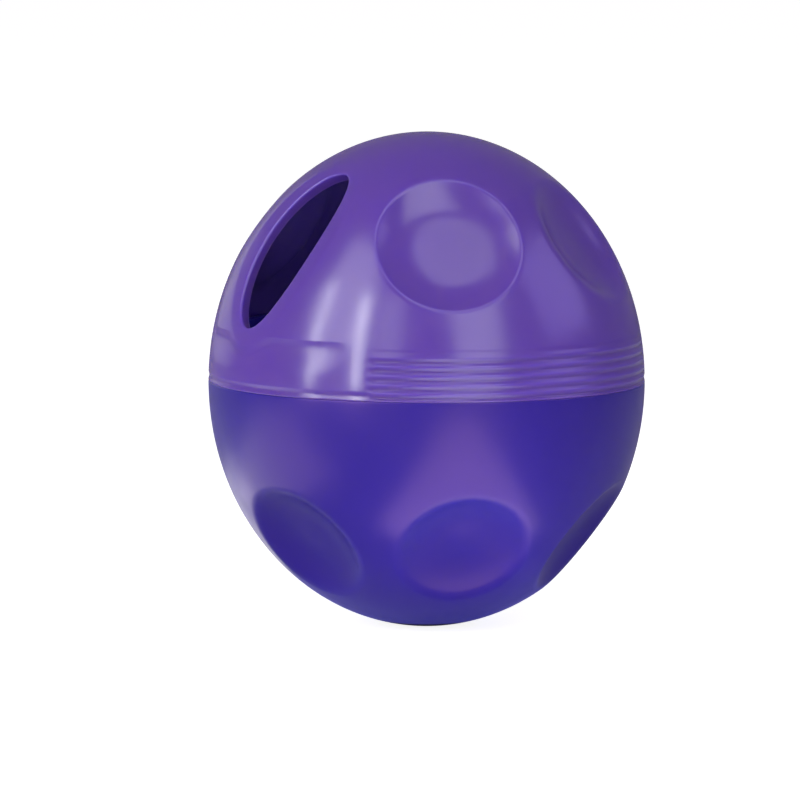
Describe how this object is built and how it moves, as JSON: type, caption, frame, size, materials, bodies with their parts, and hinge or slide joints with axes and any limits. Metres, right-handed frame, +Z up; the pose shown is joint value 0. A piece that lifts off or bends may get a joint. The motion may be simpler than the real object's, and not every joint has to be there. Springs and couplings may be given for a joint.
{
  "type": "treat dispensing ball",
  "caption": "Twist-open egg-shaped treat ball for pets, with an oval dispensing opening, round dimples and a ridged grip belt.",
  "frame": {"origin": "lowest point of the ball, the pole of the lower shell, as it stands in the picture", "axes": "+Z up along the egg's long axis, through both poles; -Y towards the flat-floored front dimple, which lies 7.5 degrees to the right of it; +X to the right seen from the front"},
  "size_m": [0.0668, 0.0668, 0.0758],
  "materials": {
    "upper_plastic": "glossy moulded",
    "lower_plastic": "glossy moulded"
  },
  "bodies": {
    "lower": {"lower_shell": "lower_plastic"},
    "upper": {"upper_shell": "upper_plastic"}
  },
  "joints": [
    {"name": "lift_off", "type": "slide", "parent": "lower", "child": "upper", "axis": [0, 0, 1], "range_m": [0, 0.045]}
  ]
}
